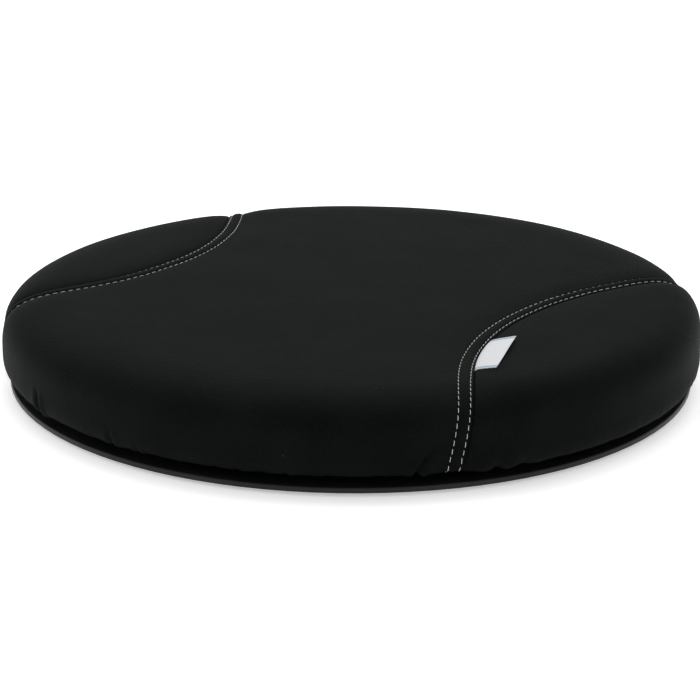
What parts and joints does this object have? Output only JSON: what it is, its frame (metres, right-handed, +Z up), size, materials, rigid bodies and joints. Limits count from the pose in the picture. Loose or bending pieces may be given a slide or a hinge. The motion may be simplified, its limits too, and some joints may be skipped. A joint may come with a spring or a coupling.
{
  "type": "swivel seat cushion",
  "caption": "Round padded seat cushion in black fabric with curved topstitched seams, turning on a flat base disc by a low ball bearing.",
  "frame": {"origin": "on the resting plane, under the swivel axis", "axes": "+Z up along the swivel axis; +X towards the curved seam that holds the label, -X towards the other seam"},
  "size_m": [0.4, 0.4, 0.053],
  "materials": {
    "cover_fabric": "matt black woven polyester with a soft sheen",
    "foam": "open-cell polyurethane foam, off-white",
    "elastic": "black elastic cord",
    "label_ribbon": "pale woven satin ribbon",
    "seat_board": "black moulded sheet",
    "base_plastic": "black plastic, semi-gloss",
    "grip_rubber": "matt dark rubber",
    "race_steel": "zinc-plated pressed sheet",
    "rivet_steel": "bright rivet heads",
    "ball_steel": "polished bearing balls",
    "pivot_steel": "zinc-plated",
    "nylon": "natural nylon"
  },
  "bodies": {
    "base": {"anti_slip_ring": "grip_rubber", "base_disc": "base_plastic", "lower_race": "race_steel", "lower_rivet_1": "rivet_steel", "lower_rivet_2": "rivet_steel", "lower_rivet_3": "rivet_steel", "lower_rivet_4": "rivet_steel", "lower_rivet_5": "rivet_steel", "lower_rivet_6": "rivet_steel", "pivot_bolt": "pivot_steel", "pivot_spacer": "pivot_steel", "pivot_washer": "pivot_steel", "pivot_nut": "pivot_steel"},
    "ball_carrier": {"ball_cage": "nylon", "ball_1": "ball_steel", "ball_2": "ball_steel", "ball_3": "ball_steel", "ball_4": "ball_steel", "ball_5": "ball_steel", "ball_6": "ball_steel", "ball_7": "ball_steel", "ball_8": "ball_steel", "ball_9": "ball_steel", "ball_10": "ball_steel", "ball_11": "ball_steel", "ball_12": "ball_steel", "ball_13": "ball_steel", "ball_14": "ball_steel", "ball_15": "ball_steel", "ball_16": "ball_steel"},
    "seat": {"seat_board": "seat_board", "upper_race": "race_steel", "upper_rivet_1": "rivet_steel", "upper_rivet_2": "rivet_steel", "upper_rivet_3": "rivet_steel", "upper_rivet_4": "rivet_steel", "upper_rivet_5": "rivet_steel", "upper_rivet_6": "rivet_steel", "pivot_bush": "nylon", "foam_pad": "foam", "cover_centre_panel": "cover_fabric", "cover_side_panel_1": "cover_fabric", "cover_side_panel_2": "cover_fabric", "hem_casing": "cover_fabric", "elastic_cord": "elastic", "label": "label_ribbon"}
  },
  "joints": [
    {"name": "seat_swivel", "type": "hinge", "parent": "base", "child": "seat", "pos_m": [0, 0, 0.0082], "axis": [0, 0, 1], "continuous": true},
    {"name": "ball_carrier_roll", "type": "hinge", "parent": "base", "child": "ball_carrier", "pos_m": [0, 0, 0.0082], "axis": [0, 0, 1], "continuous": true}
  ],
  "couplings": [
    {"joint": "ball_carrier_roll", "follows": "seat_swivel", "ratio": 0.5}
  ]
}
